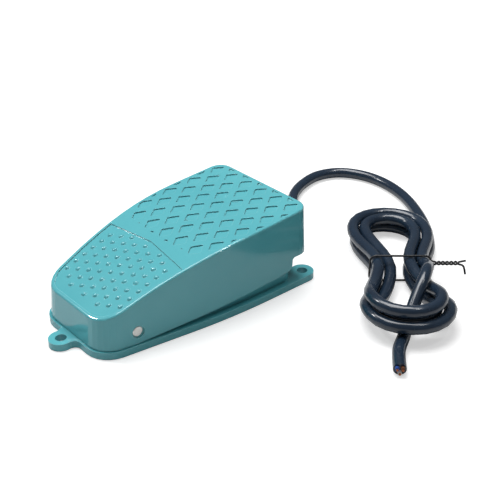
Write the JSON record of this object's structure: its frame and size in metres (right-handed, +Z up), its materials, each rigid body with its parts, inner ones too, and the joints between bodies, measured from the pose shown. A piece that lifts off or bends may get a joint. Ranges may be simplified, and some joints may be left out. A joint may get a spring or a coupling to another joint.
{
  "type": "foot switch",
  "caption": "Wedge-shaped cast pedal foot switch with a rocking treaded cover over a low base, a snap-action switch inside, three fixing ears and a cord folded into a tied hank.",
  "frame": {"origin": "on the floor, under the middle of the castings, halfway between the tips of the front ear and the rear ears", "axes": "+Y towards the cord end, +X to the right, +Z up"},
  "size_m": [0.1876, 0.2679, 0.0473],
  "materials": {
    "casting_enamel": "glossy teal stove enamel over a die casting",
    "bright_steel": "bright drawn steel",
    "zinc": "zinc-plated steel",
    "spring_steel": "music wire",
    "phenolic": "black phenolic moulding",
    "lid_plastic": "black moulded lid",
    "button_plastic": "red moulded button",
    "contact_brass": "brass strip",
    "tinned_brass": "tinned brass sleeve",
    "fibre_sheet": "grey fibre sheet",
    "core_brown": "brown insulation",
    "core_white": "white insulation",
    "core_blue": "blue insulation",
    "relief_rubber": "black soft moulding",
    "cord_sheath": "smooth blue-black cord sheath",
    "tie_wire": "black coated wire"
  },
  "bodies": {
    "base": {"base_tray": "casting_enamel", "hinge_pin": "bright_steel", "pin_clips": "zinc", "return_spring": "spring_steel", "switch_case": "phenolic", "switch_lid": "lid_plastic", "lever_pin": "bright_steel", "common_terminal": "contact_brass", "closed_terminal": "contact_brass", "open_terminal": "contact_brass", "switch_bracket": "zinc", "switch_screws": "zinc", "switch_nuts": "zinc", "bracket_screws": "zinc", "insulating_sheet": "fibre_sheet", "tab_connectors": "tinned_brass", "common_core": "core_brown", "closed_core": "core_white", "open_core": "core_blue", "cord_clamp": "zinc", "clamp_screws": "zinc", "strain_relief": "relief_rubber", "cord_inner_end": "cord_sheath", "cord_lead": "cord_sheath", "cord_hank": "cord_sheath", "cord_tail": "cord_sheath", "cord_end_cores": "core_white", "twist_tie": "tie_wire"},
    "pedal": {"pedal_cover": "casting_enamel", "striker_screw": "zinc", "striker_nut": "zinc"},
    "lever": {"switch_lever": "bright_steel"},
    "plunger": {"switch_plunger": "button_plastic"},
    "blade": {"contact_blade": "contact_brass"}
  },
  "joints": [
    {"name": "pedal_hinge", "type": "hinge", "parent": "base", "child": "pedal", "pos_m": [0, -0.042, 0.0112], "axis": [-1, 0, 0], "range_deg": [0, 4.5], "stiffness_Nm_per_rad": 8, "springref_deg": -3.44, "deforming": ["return_spring"]},
    {"name": "lever_swing", "type": "hinge", "parent": "base", "child": "lever", "pos_m": [0, -0.012, 0.0302], "axis": [-1, 0, 0], "range_deg": [0, 9.2]},
    {"name": "plunger_slide", "type": "slide", "parent": "base", "child": "plunger", "axis": [0, 0, -1], "range_m": [0, 0.0016]},
    {"name": "blade_snap", "type": "hinge", "parent": "base", "child": "blade", "pos_m": [0, -0.008, 0.0216], "axis": [-1, 0, 0], "range_deg": [0, 2.1]}
  ],
  "couplings": [
    {"joint": "lever_swing", "follows": "pedal_hinge", "ratio": 2},
    {"joint": "plunger_slide", "follows": "pedal_hinge", "m_per_rad": 0.018},
    {"joint": "blade_snap", "follows": "pedal_hinge", "ratio": 0.46}
  ]
}
